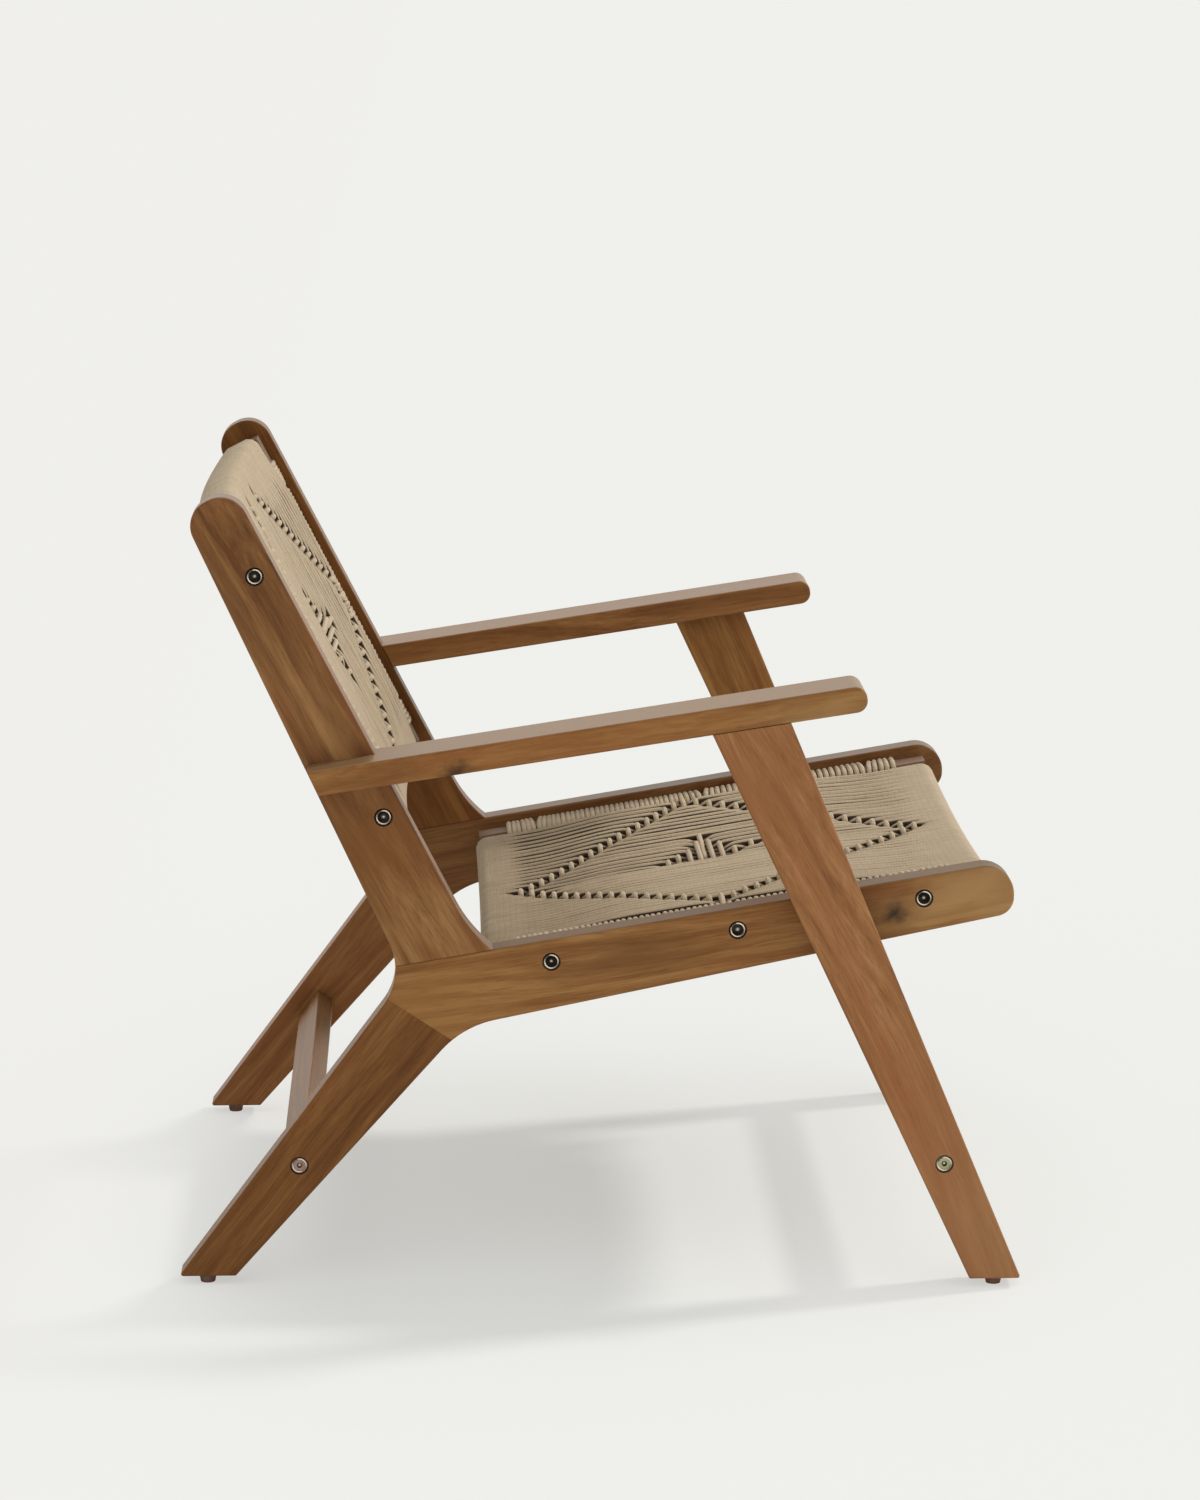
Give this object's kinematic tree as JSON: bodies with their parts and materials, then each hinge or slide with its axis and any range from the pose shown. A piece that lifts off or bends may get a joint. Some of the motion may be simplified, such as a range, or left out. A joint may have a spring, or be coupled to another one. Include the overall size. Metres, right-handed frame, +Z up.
{
  "type": "wooden armchair",
  "caption": "Low wooden lounge armchair with forked side frames, flat arms, splayed legs and a seat and back of woven natural cord.",
  "frame": {"origin": "on the floor, at the middle of the footprint", "axes": "+Z up; the chair faces -Y, so the sitter's right is -X and +Y points to the rear"},
  "size_m": [0.65, 0.75, 0.711],
  "materials": {
    "oiled_wood": "satin oiled brown hardwood with visible grain and knots",
    "dowel_wood": "plain fluted hardwood dowel, unseen",
    "woven_cord": "beige twisted cord, matt, woven",
    "bolt_metal": "antique bronze plated, smooth, with a bright worn rim",
    "insert_metal": "zinc plated",
    "glide_plastic": "matt brown"
  },
  "bodies": {
    "root": {"arm_leg_dowels": "dowel_wood", "arm_post_dowels": "dowel_wood", "back_bolts": "bolt_metal", "back_bottom_bar": "oiled_wood", "back_bottom_turns": "woven_cord", "back_frame_dowels": "dowel_wood", "back_inserts": "insert_metal", "back_return_cords": "woven_cord", "back_top_bar": "oiled_wood", "back_top_turns": "woven_cord", "back_weave": "woven_cord", "front_leg_dowels": "dowel_wood", "front_stretcher": "oiled_wood", "front_stretcher_bolts": "bolt_metal", "front_stretcher_inserts": "insert_metal", "left_armrest": "oiled_wood", "left_back_cord_wraps": "woven_cord", "left_back_post": "oiled_wood", "left_back_side_bar": "oiled_wood", "left_front_foot_glide": "glide_plastic", "left_front_leg": "oiled_wood", "left_rear_foot_glide": "glide_plastic", "left_rear_leg": "oiled_wood", "left_seat_cord_wraps": "woven_cord", "left_seat_rail": "oiled_wood", "left_seat_side_bar": "oiled_wood", "post_dowels": "dowel_wood", "rear_leg_dowels": "dowel_wood", "rear_stretcher": "oiled_wood", "rear_stretcher_bolts": "bolt_metal", "rear_stretcher_inserts": "insert_metal", "right_armrest": "oiled_wood", "right_back_cord_wraps": "woven_cord", "right_back_post": "oiled_wood", "right_back_side_bar": "oiled_wood", "right_front_foot_glide": "glide_plastic", "right_front_leg": "oiled_wood", "right_rear_foot_glide": "glide_plastic", "right_rear_leg": "oiled_wood", "right_seat_cord_wraps": "woven_cord", "right_seat_rail": "oiled_wood", "right_seat_side_bar": "oiled_wood", "seat_bolts": "bolt_metal", "seat_frame_dowels": "dowel_wood", "seat_front_bar": "oiled_wood", "seat_front_turns": "woven_cord", "seat_inserts": "insert_metal", "seat_rear_bar": "oiled_wood", "seat_rear_turns": "woven_cord", "seat_return_cords": "woven_cord", "seat_weave": "woven_cord"}
  },
  "joints": []
}
